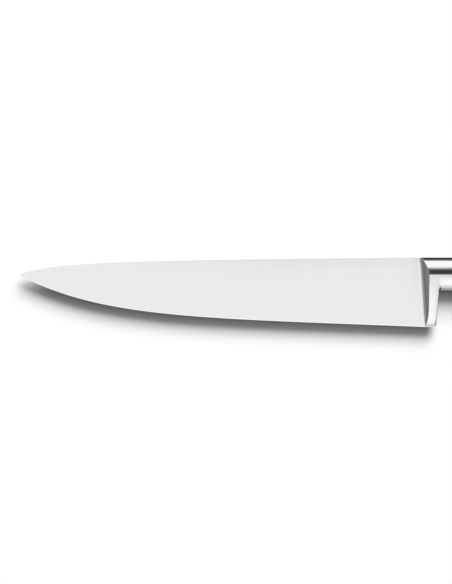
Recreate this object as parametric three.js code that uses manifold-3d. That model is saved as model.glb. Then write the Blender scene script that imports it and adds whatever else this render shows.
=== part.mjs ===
// A forged fillet knife: blade, bolster and full tang in one piece of steel, two handle scales,
// and three two-piece cutler's rivets that clamp the scales to the tang.
// Millimetres. X runs from the tip to the butt, Y from the edge to the spine, and Z across the blade.
// The shapes are drawn from the heel, where the spine's line meets X = 0, and the finished knife is
// then laid on its side with its origin under the middle of its outline.

import * as THREE from "three";
import { mergeVertices } from "three/addons/utils/BufferGeometryUtils.js";
import Module from "manifold-3d";

// Blade
const BLADE_LENGTH = 180; // tip to heel
const HEEL_HEIGHT = 30.8; // spine to edge at the heel
const TIP_DROP = 7.7; // how far the tip lies below the spine's line at the heel
const SPINE_THICKNESS = 2.2; // at the heel
const EDGE_THICKNESS = 0.4; // behind the sharpened bevel
const EDGE_BEVEL = 0.5; // height of the sharpened bevel
const TIP_BLUNT = 0.1; // length taken off the drawn point
const SPINE_HEEL_SLOPE = 0.6; // degrees, towards the tip
const SPINE_HEEL_PULL = 122; // how far the spine keeps that slope's pull
const SPINE_TIP_SLOPE = 25.8;
const SPINE_TIP_PULL = 14.2;
const EDGE_HEEL_SLOPE = 2.4;
const EDGE_HEEL_PULL = 96.5;
const EDGE_TIP_SLOPE = 28;
const EDGE_TIP_PULL = 42;

// Bolster
const BOLSTER_LENGTH = 16; // heel to the shoulder that the scales butt against
const NECK_HEIGHT = 15.2;
const GRIP_THICKNESS = 14; // across the neck's ridges and the flats of the scales
const HEEL_LEAN = 2.25; // how far the blade's end leans forward at the spine
const HEEL_SET_BACK = 0.15; // how far behind the heel's corner it lies at the edge
const RAMP_LENGTH = 3.1; // the sloped front of the bolster, along the blade
const GUARD_LENGTH_AT_NECK = 6.05; // heel to the guard's back
const GUARD_LENGTH_AT_FOOT = 4.8;
const GUARD_FOOT_THICKNESS = 5.8; // what the guard's sides taper to, before its foot is rounded
const GUARD_BACK_ROUND = 1.8; // rounding of the guard's back edges
const GUARD_FOOT_ROUND = 0.6; // rounding of the foot's back corner
const GUARD_FOOT_FLAT = 0.4; // thickness that is left under the rounded foot
const GUARD_FOOT_TURN = 9; // exponent of the foot's rounding: higher keeps the guard full further down
const NECK_OVAL = 1.6; // exponent of the neck's oval: 2 is an ellipse, less is nearer a diamond

// Handle
const HANDLE_LENGTH = 124; // heel to butt
const TANG_THICKNESS = 3.2;
const SCALE_SWELL = 1.1; // how far the scales' oval would stand out if its sides were not ground flat
const SWELL_LENGTH = 22; // shoulder to the full swell
const HANDLE_OVAL = 2.4; // exponent of the handle's oval
const RIDGE_GRIND = 0.3; // how much the oval's top and bottom ridges are ground flat
const BACK_RISE = 1; // the handle's back above the spine's line
const BACK_RISE_FROM_SHOULDER = 44; // where it is highest
const BACK_FALL = 1.4; // the back at the butt, below the spine's line
const BELLY_DEPTH = 5.4; // underside below the neck's
const BELLY_FROM_SHOULDER = 42; // where it is deepest
const WAIST_DEPTH = 4.2;
const WAIST_FROM_BUTT = 32;
const BEAK_DEPTH = 8.2;
const BEAK_FROM_BUTT = 7;
const BUTT_ROUND = 11; // length over which the butt closes
const BUTT_OVAL = 2.6; // exponent of the butt's rounding
const BUTT_TURN = 0.985; // how much of that rounding is drawn, the rest being a flat end

// Rivets
const RIVET_COUNT = 3;
const RIVET_FROM_SHOULDER = 20;
const RIVET_FROM_BUTT = 27;
const RIVET_HEAD_DIAMETER = 7;
const RIVET_HEAD_THICKNESS = 2;
const RIVET_TUBE_DIAMETER = 4.8; // shank of the hollow half
const RIVET_STUD_DIAMETER = 3.1; // shank of the solid half
const RIVET_END_GAP = 0.5; // free space past the end of each shank
const FIT_CLEARANCE = 0.1; // radial, round each shank, head and stud

// Facets
const BLADE_STATIONS = 30;
const BLADE_CROWDING = 1.6; // more than 1 crowds the stations towards the tip
const GUARD_STATIONS = 14;
const NECK_STATIONS = 6;
const HANDLE_STATIONS = 24;
const BUTT_STATIONS = 10;
const GRIP_SIDES = 44;
const CORNER_STEPS = 4;
const RIVET_SIDES = 40;
const HALVINGS = 40; // steps in the search along a curve

// Colours and finishes
const blade_steel = new THREE.MeshStandardMaterial({ color: 0xd9dadb, roughness: 0.28, metalness: 1 });
const black_resin = new THREE.MeshStandardMaterial({ color: 0x17171a, roughness: 0.38, metalness: 0 });
const rivet_steel = new THREE.MeshStandardMaterial({ color: 0xcfd0d2, roughness: 0.2, metalness: 1 });

const wasm = await Module();
wasm.setup();

// Solids

function solidOf(geometry) {
  const bare = geometry.clone();
  bare.deleteAttribute("normal");
  bare.deleteAttribute("uv");
  const merged = mergeVertices(bare, 1e-5);
  return new wasm.Manifold(
    new wasm.Mesh({
      numProp: 3,
      vertProperties: new Float32Array(merged.attributes.position.array),
      triVerts: new Uint32Array(merged.index.array),
    }),
  );
}

function geometryOf(solid) {
  const made = solid.getMesh();
  const geometry = new THREE.BufferGeometry();
  geometry.setAttribute("position", new THREE.BufferAttribute(made.vertProperties, 3));
  geometry.setIndex(new THREE.BufferAttribute(made.triVerts, 1));
  const faceted = geometry.toNonIndexed();
  faceted.computeVertexNormals();
  return faceted;
}

// A closed skin over rings of equally many points, each turning right-handed about the way the rings go.
function loft(rings) {
  const sides = rings[0].length;
  const points = rings.flat();
  const faces = [];
  for (let ring = 0; ring + 1 < rings.length; ring++) {
    for (let side = 0; side < sides; side++) {
      const next = (side + 1) % sides;
      const here = ring * sides;
      const ahead = here + sides;
      faces.push(here + side, here + next, ahead + next, here + side, ahead + next, ahead + side);
    }
  }
  const first = points.push(middleOf(rings[0])) - 1;
  const last = points.push(middleOf(rings.at(-1))) - 1;
  const end = (rings.length - 1) * sides;
  for (let side = 0; side < sides; side++) {
    const next = (side + 1) % sides;
    faces.push(first, next, side, last, end + side, end + next);
  }
  return new THREE.BufferGeometry().setFromPoints(points).setIndex(faces);
}

function middleOf(ring) {
  return ring.reduce((sum, point) => sum.add(point), new THREE.Vector3()).divideScalar(ring.length);
}

// Everything on the outer side of a plane, as a block large enough for the whole knife.
function outside(point, normal) {
  const reach = 2 * (BLADE_LENGTH + HANDLE_LENGTH);
  const block = new THREE.BoxGeometry(reach, reach, reach).translate(0, 0, reach / 2);
  const turn = new THREE.Quaternion().setFromUnitVectors(new THREE.Vector3(0, 0, 1), normal);
  return solidOf(block.applyQuaternion(turn).translate(point.x, point.y, point.z));
}

function cylinder(radius, low, high, x, y) {
  const geometry = new THREE.CylinderGeometry(radius, radius, high - low, RIVET_SIDES);
  return solidOf(geometry.rotateX(Math.PI / 2).translate(x, y, (low + high) / 2));
}

// Values at a place along the knife

function bladeCurve(heelY, heelSlope, heelPull, tipSlope, tipPull) {
  const heel = new THREE.Vector2(0, heelY);
  const tip = new THREE.Vector2(-BLADE_LENGTH, -TIP_DROP);
  const along = (slope, pull) => {
    const angle = THREE.MathUtils.degToRad(slope);
    return new THREE.Vector2(Math.cos(angle), Math.sin(angle)).multiplyScalar(pull);
  };
  return new THREE.CubicBezierCurve(
    heel,
    heel.clone().sub(along(heelSlope, heelPull)),
    tip.clone().add(along(tipSlope, tipPull)),
    tip,
  );
}

// The height of a curve that runs from the heel to the tip, found by halving.
function heightAt(curve, x) {
  let near = 0;
  let far = 1;
  for (let step = 0; step < HALVINGS; step++) {
    const middle = (near + far) / 2;
    if (curve.getPoint(middle).x > x) near = middle;
    else far = middle;
  }
  return curve.getPoint((near + far) / 2).y;
}

// The height of a line that is level at each of its places and runs smoothly from one to the next.
function levelAt(places, x) {
  const next = places.findIndex((place) => place.x > x);
  if (next === 0) return places[0].y;
  if (next < 0) return places.at(-1).y;
  const from = places[next - 1];
  const to = places[next];
  return THREE.MathUtils.lerp(from.y, to.y, THREE.MathUtils.smoothstep(x, from.x, to.x));
}

const spineCurve = bladeCurve(0, SPINE_HEEL_SLOPE, SPINE_HEEL_PULL, SPINE_TIP_SLOPE, SPINE_TIP_PULL);
const edgeCurve = bladeCurve(-HEEL_HEIGHT, -EDGE_HEEL_SLOPE, EDGE_HEEL_PULL, -EDGE_TIP_SLOPE, EDGE_TIP_PULL);

const shoulderX = BOLSTER_LENGTH;
const buttX = HANDLE_LENGTH;
const gripHalf = GRIP_THICKNESS / 2;
const tangHalf = TANG_THICKNESS / 2;

const back = [
  new THREE.Vector2(shoulderX, 0),
  new THREE.Vector2(shoulderX + BACK_RISE_FROM_SHOULDER, BACK_RISE),
  new THREE.Vector2(buttX, -BACK_FALL),
];
const underside = [
  new THREE.Vector2(shoulderX, -NECK_HEIGHT),
  new THREE.Vector2(shoulderX + BELLY_FROM_SHOULDER, -NECK_HEIGHT - BELLY_DEPTH),
  new THREE.Vector2(buttX - WAIST_FROM_BUTT, -NECK_HEIGHT - WAIST_DEPTH),
  new THREE.Vector2(buttX - BEAK_FROM_BUTT, -NECK_HEIGHT - BEAK_DEPTH),
];

// The handle's outline at a place along it: its middle, half its height and how far the butt has closed.
function gripAt(x) {
  const top = levelAt(back, x);
  const bottom = levelAt(underside, x);
  const turn = BUTT_TURN * Math.max(0, (x - (buttX - BUTT_ROUND)) / BUTT_ROUND);
  const close = Math.pow(1 - Math.pow(turn, BUTT_OVAL), 1 / BUTT_OVAL);
  return { middle: (top + bottom) / 2, halfHeight: (close * (top - bottom)) / 2, close };
}

// Blade

// The blade's end, where the bolster begins, leans forward towards the spine.
const heelLineX = (y) => HEEL_SET_BACK - HEEL_LEAN * (1 + y / HEEL_HEIGHT);

// Both sides are ground at one angle, so the spine thins as the blade narrows.
const grindSlope = (SPINE_THICKNESS - EDGE_THICKNESS) / 2 / HEEL_HEIGHT;
const flankAt = (y, edgeY) => EDGE_THICKNESS / 2 + grindSlope * (y - edgeY);

function bladeRing(x) {
  const spineY = heightAt(spineCurve, x);
  const edgeY = heightAt(edgeCurve, x);
  const bevelY = edgeY + Math.min(EDGE_BEVEL, (spineY - edgeY) / 3);
  const spineHalf = flankAt(spineY, edgeY);
  const bevelHalf = flankAt(bevelY, edgeY);
  return [
    new THREE.Vector3(x, spineY, spineHalf),
    new THREE.Vector3(x, bevelY, bevelHalf),
    new THREE.Vector3(x, edgeY, 0),
    new THREE.Vector3(x, bevelY, -bevelHalf),
    new THREE.Vector3(x, spineY, -spineHalf),
  ];
}

function bladeSolid() {
  const rings = [];
  for (let station = 0; station <= BLADE_STATIONS; station++) {
    const share = Math.pow(station / BLADE_STATIONS, BLADE_CROWDING);
    rings.push(bladeRing(THREE.MathUtils.lerp(TIP_BLUNT - BLADE_LENGTH, 0, share)));
  }
  const root = rings.at(-1).map((point) => point.clone().setX(RAMP_LENGTH / 2));
  return solidOf(loft([...rings, root]));
}

// Handle blank: neck, tang and both scales before they are parted

function gripRing(x) {
  const { middle, halfHeight, close } = gripAt(x);
  const swell = THREE.MathUtils.smoothstep(x, shoulderX, shoulderX + SWELL_LENGTH);
  const half = close * (gripHalf + SCALE_SWELL * swell);
  const power = 2 / THREE.MathUtils.lerp(NECK_OVAL, HANDLE_OVAL, swell);
  const flat = Math.min(gripHalf, half);
  const ring = [];
  for (let side = 0; side < GRIP_SIDES; side++) {
    const angle = (2 * Math.PI * side) / GRIP_SIDES;
    const up = Math.sign(Math.cos(angle)) * Math.pow(Math.abs(Math.cos(angle)), power);
    const out = Math.sign(Math.sin(angle)) * Math.pow(Math.abs(Math.sin(angle)), power);
    const y = THREE.MathUtils.clamp(up * (halfHeight + RIDGE_GRIND), -halfHeight, halfHeight);
    ring.push(new THREE.Vector3(x, middle + y, THREE.MathUtils.clamp(out * half, -flat, flat)));
  }
  return ring;
}

function gripSolid() {
  const front = heelLineX(0);
  const places = [];
  for (let step = 0; step < NECK_STATIONS; step++) {
    places.push(THREE.MathUtils.lerp(front, shoulderX, step / NECK_STATIONS));
  }
  for (let step = 0; step < HANDLE_STATIONS; step++) {
    places.push(THREE.MathUtils.lerp(shoulderX, buttX - BUTT_ROUND, step / HANDLE_STATIONS));
  }
  for (let step = 0; step <= BUTT_STATIONS; step++) {
    places.push(buttX - BUTT_ROUND * (1 - Math.sin((Math.PI / 2) * (step / BUTT_STATIONS))));
  }
  return solidOf(loft(places.map(gripRing)));
}

// Finger guard: a tongue that hangs from the neck to the heel, thinner towards its rounded foot

function guardRing(share) {
  const top = -NECK_HEIGHT / 2;
  const y = THREE.MathUtils.lerp(top, -HEEL_HEIGHT, share);
  const taper = THREE.MathUtils.lerp(gripHalf, GUARD_FOOT_THICKNESS / 2, share);
  const rounded = taper * (1 - Math.pow(share, GUARD_FOOT_TURN));
  const half = Math.max(rounded, GUARD_FOOT_FLAT / 2);
  const belowNeck = THREE.MathUtils.clamp((-NECK_HEIGHT - y) / (HEEL_HEIGHT - NECK_HEIGHT), 0, 1);
  const aboveFoot = Math.min(y + HEEL_HEIGHT, GUARD_FOOT_ROUND);
  const corner =
    GUARD_FOOT_ROUND - Math.sqrt(Math.pow(GUARD_FOOT_ROUND, 2) - Math.pow(GUARD_FOOT_ROUND - aboveFoot, 2));
  const back = THREE.MathUtils.lerp(GUARD_LENGTH_AT_NECK, GUARD_LENGTH_AT_FOOT, belowNeck) - corner;
  const roundZ = Math.min(GUARD_BACK_ROUND, half - GUARD_FOOT_FLAT / 4);
  const ring = [new THREE.Vector3(heelLineX(y), y, half)];
  for (let step = 0; step <= CORNER_STEPS; step++) {
    const angle = ((Math.PI / 2) * step) / CORNER_STEPS;
    const x = back - GUARD_BACK_ROUND * (1 - Math.sin(angle));
    ring.push(new THREE.Vector3(x, y, half - roundZ * (1 - Math.cos(angle))));
  }
  return [...ring, ...ring.map((point) => point.clone().setZ(-point.z)).reverse()];
}

function guardSolid() {
  const rings = [];
  for (let station = 0; station <= GUARD_STATIONS; station++) {
    rings.push(guardRing(Math.cos(((Math.PI / 2) * station) / GUARD_STATIONS)));
  }
  return solidOf(loft(rings));
}

// The sloped fronts that lead from the blade's sides up to the bolster's
function rampCut(side) {
  const spineHalf = flankAt(0, -HEEL_HEIGHT);
  const atSpine = new THREE.Vector3(heelLineX(0), 0, side * spineHalf);
  const atEdge = new THREE.Vector3(heelLineX(-HEEL_HEIGHT), -HEEL_HEIGHT, (side * EDGE_THICKNESS) / 2);
  const slope = new THREE.Vector3(RAMP_LENGTH, 0, side * (gripHalf - spineHalf));
  const normal = atEdge.clone().sub(atSpine).cross(slope).multiplyScalar(side).normalize();
  return outside(atSpine, normal);
}

// Rivets

function rivetPlaces() {
  const first = shoulderX + RIVET_FROM_SHOULDER;
  const last = buttX - RIVET_FROM_BUTT;
  return Array.from({ length: RIVET_COUNT }, (_, index) => {
    const x = THREE.MathUtils.lerp(first, last, index / (RIVET_COUNT - 1));
    return new THREE.Vector2(x, gripAt(x).middle);
  });
}

const headInside = gripHalf - RIVET_HEAD_THICKNESS;
const tubeEnd = RIVET_END_GAP - headInside;
const boreRadius = RIVET_STUD_DIAMETER / 2 + FIT_CLEARANCE;

function turned(profile, place) {
  const geometry = new THREE.LatheGeometry(
    profile.map(([radius, z]) => new THREE.Vector2(radius, z)),
    RIVET_SIDES,
  );
  return solidOf(geometry.rotateX(Math.PI / 2).translate(place.x, place.y, 0));
}

// The hollow half: its head is flush with the left scale, and its tube runs through the tang.
function rivetTube(place) {
  const head = RIVET_HEAD_DIAMETER / 2;
  const tube = RIVET_TUBE_DIAMETER / 2;
  return turned(
    [
      [0, headInside],
      [boreRadius, headInside],
      [boreRadius, tubeEnd],
      [tube, tubeEnd],
      [tube, headInside],
      [head, headInside],
      [head, gripHalf],
      [0, gripHalf],
    ],
    place,
  );
}

// The solid half: its head is flush with the right scale, and its stud is pressed up into the tube.
function rivetStud(place) {
  const head = RIVET_HEAD_DIAMETER / 2;
  const stud = RIVET_STUD_DIAMETER / 2;
  const studEnd = headInside - RIVET_END_GAP;
  return turned(
    [
      [0, -gripHalf],
      [head, -gripHalf],
      [head, -headInside],
      [stud, -headInside],
      [stud, studEnd],
      [0, studEnd],
    ],
    place,
  );
}

const shankHole = ({ x, y }) =>
  cylinder(RIVET_TUBE_DIAMETER / 2 + FIT_CLEARANCE, -GRIP_THICKNESS, GRIP_THICKNESS, x, y);

const headSeats = ({ x, y }) => {
  const radius = RIVET_HEAD_DIAMETER / 2 + FIT_CLEARANCE;
  const upper = cylinder(radius, headInside, GRIP_THICKNESS, x, y);
  return upper.add(cylinder(radius, -GRIP_THICKNESS, -headInside, x, y));
};

// Pieces

const places = rivetPlaces();
const grip = gripSolid();
const shankHoles = places.map(shankHole).reduce((all, hole) => all.add(hole));
const seats = places.map(headSeats).reduce((all, seat) => all.add(seat));

// Where a scale goes: behind the shoulder, on one side of the tang
function scaleRoom(side) {
  const reach = 2 * HANDLE_LENGTH;
  const block = new THREE.BoxGeometry(reach, reach, reach);
  return solidOf(block.translate(shoulderX + reach / 2, 0, side * (tangHalf + reach / 2)));
}

function forging() {
  const neckAndTang = grip.subtract(scaleRoom(1)).subtract(scaleRoom(-1)).subtract(shankHoles);
  const bolster = neckAndTang.add(guardSolid()).subtract(rampCut(1)).subtract(rampCut(-1));
  return bladeSolid().add(bolster);
}

function scale(side) {
  return grip.intersect(scaleRoom(side)).subtract(shankHoles).subtract(seats);
}

const knife = new THREE.Group();

function addPiece(name, solid, material) {
  const mesh = new THREE.Mesh(geometryOf(solid), material.clone());
  mesh.name = name;
  knife.add(mesh);
}

addPiece("forged_blade", forging(), blade_steel);
addPiece("left_scale", scale(1), black_resin);
addPiece("right_scale", scale(-1), black_resin);
places.forEach((place, index) => {
  addPiece(`rivet_${index + 1}_tube`, rivetTube(place), rivet_steel);
  addPiece(`rivet_${index + 1}_stud`, rivetStud(place), rivet_steel);
});

// Laid on its right side, with the origin on the table under the middle of the outline
const outline = new THREE.Box3().setFromObject(knife);
const middle = outline.getCenter(new THREE.Vector3());
knife.position.set(-middle.x, -middle.y, -outline.min.z);

export default knife;
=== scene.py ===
"""The looks of a forged fillet knife, built round its CAD frame.

Metres, +Z up. The knife lies on its right side: +X runs from the tip to the butt and +Y from the edge
to the spine. Pieces are drawn from the heel, where the blade's end, the line of the spine and the
middle of the steel's thickness meet, and are then laid in the frame.
"""

import math

import bpy
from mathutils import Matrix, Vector


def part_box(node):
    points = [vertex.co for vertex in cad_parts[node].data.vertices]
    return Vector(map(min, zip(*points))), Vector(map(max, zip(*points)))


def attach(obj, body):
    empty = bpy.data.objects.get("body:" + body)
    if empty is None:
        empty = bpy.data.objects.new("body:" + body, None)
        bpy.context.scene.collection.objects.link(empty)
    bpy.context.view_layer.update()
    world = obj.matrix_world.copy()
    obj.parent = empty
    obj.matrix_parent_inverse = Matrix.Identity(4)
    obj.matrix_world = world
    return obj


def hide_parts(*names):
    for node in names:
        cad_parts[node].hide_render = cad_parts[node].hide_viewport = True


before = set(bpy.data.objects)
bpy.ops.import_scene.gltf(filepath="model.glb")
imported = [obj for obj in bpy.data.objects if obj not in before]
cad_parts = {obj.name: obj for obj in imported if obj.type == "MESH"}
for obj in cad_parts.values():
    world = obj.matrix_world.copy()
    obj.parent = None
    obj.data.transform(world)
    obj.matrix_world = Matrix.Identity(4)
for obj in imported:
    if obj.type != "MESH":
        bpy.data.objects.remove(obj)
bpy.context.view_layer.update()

# Blade and bolster, at the CAD part's sizes
BLADE_LENGTH = 0.180
HEEL_HEIGHT = 0.0308
TIP_DROP = 0.0077
SPINE_THICKNESS = 0.0022
EDGE_THICKNESS = 0.0004
EDGE_BEVEL = 0.0005
TIP_BLUNT = 0.0001
BOLSTER_LENGTH = 0.016
NECK_HEIGHT = 0.0152
NECK_OVAL = 1.6
HEEL_LEAN = 0.00225
HEEL_SET_BACK = 0.00015
RAMP_LENGTH = 0.0031
GUARD_LENGTH_AT_NECK = 0.00605
GUARD_LENGTH_AT_FOOT = 0.0048
GUARD_FOOT_THICKNESS = 0.0058
GUARD_BACK_ROUND = 0.0018
GUARD_FOOT_ROUND = 0.0006
GUARD_FOOT_FLAT = 0.0004
GUARD_FOOT_TURN = 9

# Handle and rivets, at the CAD part's sizes
SWELL_LENGTH = 0.022
RIDGE_GRIND = 0.0003
BACK_RISE = 0.001
BACK_RISE_FROM_SHOULDER = 0.044
BACK_FALL = 0.0014
BELLY_DEPTH = 0.0054
BELLY_FROM_SHOULDER = 0.042
WAIST_DEPTH = 0.0042
WAIST_FROM_BUTT = 0.032
BEAK_DEPTH = 0.0082
BEAK_FROM_BUTT = 0.007
BUTT_ROUND = 0.011
BUTT_OVAL = 2.6
BUTT_TURN = 0.985
RIVET_COUNT = 3
RIVET_HEAD_THICKNESS = 0.002
RIVET_TUBE_DIAMETER = 0.0048
RIVET_STUD_DIAMETER = 0.0031
RIVET_END_GAP = 0.0005
FIT_CLEARANCE = 0.0001

# Edges finer or softer than the CAD part's
HEEL_FILLET = 0.0025  # where the blade's side runs into the bolster's sloped front
FILLET_LIMIT = 0.7  # the most that fillet may be, as a share of the slope's rise
FILLET_SET_BACK = 0.22  # how far it sets the slope's foot back, as a share of its radius
CREST_ROUND = 0.00012  # the ridge at the top of that slope
NECK_FILLET = 0.0013  # where the guard's back runs into the neck
GUARD_BACK_FALL = 0.0011  # how far the guard's side drops in the rounding of its back edge
BACK_SHARE = 0.6  # what the rounding of the guard's back takes of the drop to the neck
BACK_EASE = 0.005  # how far below the neck that rounding reaches the guard's middle
SPINE_ROUND = 0.00015
SPINE_EASE = 0.0001  # what the blade's sides are eased by towards the spine, at the heel
SPINE_EASE_HEIGHT = 0.007
HANDLE_OVAL = 3.2  # exponent of the scales' section: higher is flatter at the sides
RIDGE_EASE = 0.0001  # the corners of the flats ground along the handle's back and underside
RIM_ROUND = 0.0001  # edges of the scales along the tang and the shoulder
RIVET_ROUND = 0.00018

# Places, from the frame
forging_low, forging_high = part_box("forged_blade")
scale_low, scale_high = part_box("left_scale")
HEEL = Vector((
    scale_low.x - BOLSTER_LENGTH,
    forging_low.y + HEEL_HEIGHT,
    (forging_low.z + forging_high.z) / 2,
))
GRIP_HALF = forging_high.z - HEEL.z
TANG_HALF = scale_low.z - HEEL.z
SHOULDER = scale_low.x - HEEL.x
BUTT = scale_high.x - HEEL.x

# How finely the curves are drawn
BLADE_STATIONS = 110
BLADE_CROWDING = 1.6  # more than 1 crowds the stations towards the tip
FILLET_STEPS = 8
RAMP_STEPS = 4
CREST_STEPS = 5
SIDE_STEPS = 6
BACK_STEPS = 8
ROOT_STEPS = 5
NECK_STEPS = 4
BEVEL_ROWS = 6
GUARD_ROWS = 30
GUARD_CROWDING = 1.5
NECK_ROWS = 56
SPINE_ROWS = 4
GRIP_SIDES = 112
RIM_STEPS = 4  # of those, how many lie between the middle of the back and a face of the tang
GRIP_STATIONS = 84
BUTT_STATIONS = 14
RIVET_SIDES = 72
HALVINGS = 26  # steps in the search along a curve
STEEL_SMOOTH = 20  # degrees between faces up to which the shading runs on, on the forging
HANDLE_SMOOTH = 30  # and on the handle
FACING = 0.9  # how much of a normal lies along an axis where its face looks that way
MERGE = 1e-7  # points closer than this are one
MILLIMETRE = 0.001

# The photograph's frame
PHOTO_WIDTH = 452
PHOTO_HEIGHT = 584
TIP_PIXEL = Vector((19.1, 275.0))
HEEL_PIXEL = Vector((425.0, 257.6))
PIXEL = BLADE_LENGTH / (HEEL_PIXEL.x - TIP_PIXEL.x)
CAMERA_DISTANCE = 2.0
CAMERA_REACH = 100
SENSOR = 0.036

# Studio
FLOOR_SIZE = 6.0
FLOOR_GREY = 0.90
FLOOR_GLOW = 0.035  # what the camera sees added, so that the lit floor is just white
# The panels of a broad soft box: degrees from overhead towards the spine and the butt, degrees across
# as seen from the knife, and strength
SOFT_BOXES = ((41, 17, 36, 3.65), (18, 16, 40, 0.77))
SHADE_LIGHT = 0.02  # what the rest of the room adds to matt surfaces
SECOND_REFLECTION = 0.6  # how much dimmer the room shows in steel at each reflection after the first: painted shade where steel reflects steel

# The black flags, sheets seen only in the steel's reflections, where they paint dark lines and shade:
# where they begin and end along the knife, from the heel, how much of its end a flag takes to fade out,
# and their heights
FLAG_START = 0.0
FLAG_END = 0.030
FLAG_FADE = 0.008
FLAG_HEIGHT = 0.015  # above the steel of the neck
FLOOR_FLAG_START = -0.002
FLOOR_FLAG_HEIGHT = 0.0003
CORNER_FLAG_START = 0.0132
CORNER_FLAG_END = 0.25
CORNER_FLAG_HEIGHT = FLOOR_FLAG_HEIGHT * 2
SPINE_FLAG_START = -0.002
SPINE_FLAG_END = -BLADE_LENGTH
SPINE_FLAG_FADE = -0.130  # negative, because this flag runs towards the tip
SPINE_FLAG_HEIGHT = 0.090


# Modelling tools

def work_on(piece):
    """Makes a piece the only selected and active object."""
    bpy.ops.object.select_all(action="DESELECT")
    piece.select_set(True)
    bpy.context.view_layer.objects.active = piece


def edit_mode():
    bpy.ops.object.mode_set(mode="EDIT")


def object_mode():
    bpy.ops.object.mode_set(mode="OBJECT")


def name_piece(name):
    """Names the object that was just added or copied."""
    piece = bpy.context.object
    piece.name = name
    piece.data.name = name
    return piece


def select_edges(piece, test):
    """Selects the edges whose two ends pass a test, and leaves the piece in edit mode."""
    work_on(piece)
    edit_mode()
    bpy.ops.mesh.select_mode(type="EDGE")
    bpy.ops.mesh.select_all(action="DESELECT")
    object_mode()
    points = piece.data.vertices
    for edge in piece.data.edges:
        start, end = (points[index].co for index in edge.vertices)
        edge.select = test(start, end)
    edit_mode()


def select_faces(piece, test):
    """Selects the faces whose middle and normal pass a test, and leaves the piece in edit mode."""
    work_on(piece)
    edit_mode()
    bpy.ops.mesh.select_mode(type="FACE")
    bpy.ops.mesh.select_all(action="DESELECT")
    object_mode()
    for face in piece.data.polygons:
        face.select = test(face.center, face.normal)
    edit_mode()


def apply_modifier(piece, kind, **settings):
    """Adds a modifier with its settings and applies it."""
    work_on(piece)
    bpy.ops.object.modifier_add(type=kind)
    modifier = piece.modifiers[-1]
    for setting, value in settings.items():
        setattr(modifier, setting, value)
    bpy.ops.object.modifier_apply(modifier=modifier.name)


def saw(piece, place, outwards):
    """Cuts off what lies beyond a plane and closes the cut."""
    work_on(piece)
    edit_mode()
    bpy.ops.mesh.select_all(action="SELECT")
    bpy.ops.mesh.bisect(
        plane_co=place, plane_no=outwards, clear_outer=True, use_fill=True, threshold=MERGE
    )
    object_mode()


def drill(piece, cutters):
    """Cuts the shapes of the cutters out of a piece."""
    for cutter in cutters:
        apply_modifier(piece, "BOOLEAN", object=cutter, operation="DIFFERENCE", solver="EXACT")


def copy_of(piece, name):
    """A copy with a mesh of its own."""
    work_on(piece)
    bpy.ops.object.duplicate()
    return name_piece(name)


def move(piece, way):
    """Moves a piece and leaves its place in its mesh."""
    work_on(piece)
    bpy.ops.transform.translate(value=way)
    bpy.ops.object.transform_apply(location=True, rotation=True, scale=True)


def merge_points(piece):
    work_on(piece)
    edit_mode()
    bpy.ops.mesh.select_all(action="SELECT")
    bpy.ops.mesh.remove_doubles(threshold=MERGE)
    object_mode()


def face_outwards(piece):
    work_on(piece)
    edit_mode()
    bpy.ops.mesh.select_all(action="SELECT")
    bpy.ops.mesh.normals_make_consistent(inside=False)
    object_mode()


def smooth(piece, degrees):
    """Smooth shading, with edges that turn by more than an angle kept sharp."""
    work_on(piece)
    bpy.ops.object.shade_smooth_by_angle(angle=math.radians(degrees))


def shares(steps):
    """Equal steps from 0 up to, and not counting, 1."""
    return [step / steps for step in range(steps)]


def mix(start, end, share):
    return start + (end - start) * share


def ease(value, start, end):
    """0 before start, 1 after end, and a smooth step between."""
    share = min(1, max(0, (value - start) / (end - start)))
    return share * share * (3 - 2 * share)


def limited(value, limit):
    """A value that levels off towards a limit as it grows."""
    return value / (1 + (value / limit) ** 3) ** (1 / 3)


def power_of(value, power):
    """A power that keeps the sign."""
    return math.copysign(abs(value) ** power, value)


# Blade

def blade_curve(heel_y, heel_slope, heel_pull, tip_slope, tip_pull):
    """The four points of an outline's Bezier curve, from the heel to the tip."""
    heel = Vector((0, heel_y))
    tip = Vector((-BLADE_LENGTH, -TIP_DROP))
    heel_angle = math.radians(heel_slope)
    tip_angle = math.radians(tip_slope)
    heel_way = Vector((math.cos(heel_angle), math.sin(heel_angle)))
    tip_way = Vector((math.cos(tip_angle), math.sin(tip_angle)))
    return heel, heel - heel_way * heel_pull, tip + tip_way * tip_pull, tip


SPINE = blade_curve(0, heel_slope=0.6, heel_pull=0.122, tip_slope=25.8, tip_pull=0.0142)
EDGE = blade_curve(-HEEL_HEIGHT, heel_slope=-2.4, heel_pull=0.0965, tip_slope=-28, tip_pull=0.042)


def curve_point(curve, share):
    rest = 1 - share
    weights = (rest**3, 3 * rest**2 * share, 3 * rest * share**2, share**3)
    return sum((point * weight for point, weight in zip(curve, weights)), Vector((0, 0)))


def height_at(curve, x):
    """The height of an outline at a place along the blade, found by halving."""
    near, far = 0, 1
    for _ in range(HALVINGS):
        middle = (near + far) / 2
        if curve_point(curve, middle).x > x:
            near = middle
        else:
            far = middle
    return curve_point(curve, (near + far) / 2).y


GRIND = (SPINE_THICKNESS - EDGE_THICKNESS) / 2 / HEEL_HEIGHT


def flank(height, full):
    """Half the blade's thickness at a height above the edge, where the blade has its full height.

    The sides are ground flat and eased towards the spine. The sharpened bevel is left out.
    """
    near_spine = max(0, 1 - (full - height) / SPINE_EASE_HEIGHT)
    eased = SPINE_EASE * full / HEEL_HEIGHT * near_spine**2
    return EDGE_THICKNESS / 2 + GRIND * height - eased


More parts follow.
